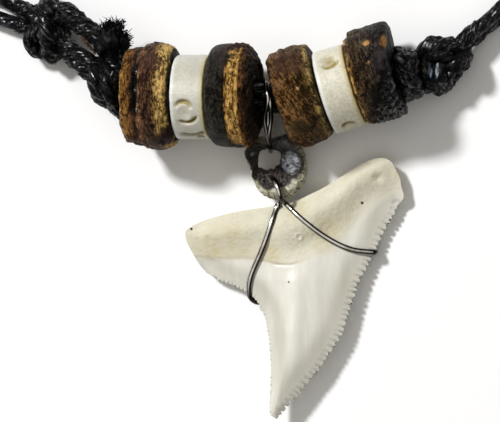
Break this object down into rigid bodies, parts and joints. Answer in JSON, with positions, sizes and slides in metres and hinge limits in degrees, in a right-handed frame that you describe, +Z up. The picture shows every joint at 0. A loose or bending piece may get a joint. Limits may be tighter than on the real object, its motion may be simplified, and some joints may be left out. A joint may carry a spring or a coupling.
{
  "type": "shark tooth necklace",
  "caption": "Shark tooth wired to a shell ring under coconut and bone beads on a knotted doubled cord, laid flat with a plain barrel clasp at the back.",
  "frame": {"origin": "the surface under the middle of the beaded front, measured without the free neck cords and clasp", "axes": "+X runs to the right along the bead row, +Y from the tooth's tip towards the neck, +Z up"},
  "size_m": [0.142, 0.185, 0.0132],
  "materials": {
    "coco_shell": "turned and oiled",
    "bone": "polished bone with stains",
    "waxed_cord": "waxed cotton",
    "shell": "worn shell, part polished",
    "steel_wire": "bright wire",
    "tooth": "enamel and matte root",
    "clasp_metal": "satin"
  },
  "bodies": {
    "root": {"coco_bead_left_outer": "coco_shell", "bone_disc_left": "bone", "coco_bead_left_inner": "coco_shell", "coco_bead_right_inner": "coco_shell", "bone_disc_right": "bone", "coco_bead_right_outer": "coco_shell", "bead_cord_upper": "waxed_cord", "bead_cord_lower": "waxed_cord", "ring_bead": "shell", "bail_link": "steel_wire", "tooth_wire": "steel_wire", "shark_tooth": "tooth", "knot_left_outer": "waxed_cord", "knot_left_inner": "waxed_cord", "knot_right_inner": "waxed_cord", "knot_right_outer": "waxed_cord", "bridge_cord_upper": "waxed_cord", "bridge_cord_lower": "waxed_cord", "cut_tail_left": "waxed_cord", "neck_cord_left_a": "waxed_cord", "neck_cord_left_b": "waxed_cord", "neck_cord_right_a": "waxed_cord", "neck_cord_right_b": "waxed_cord", "cord_clasp": "clasp_metal"}
  },
  "joints": []
}
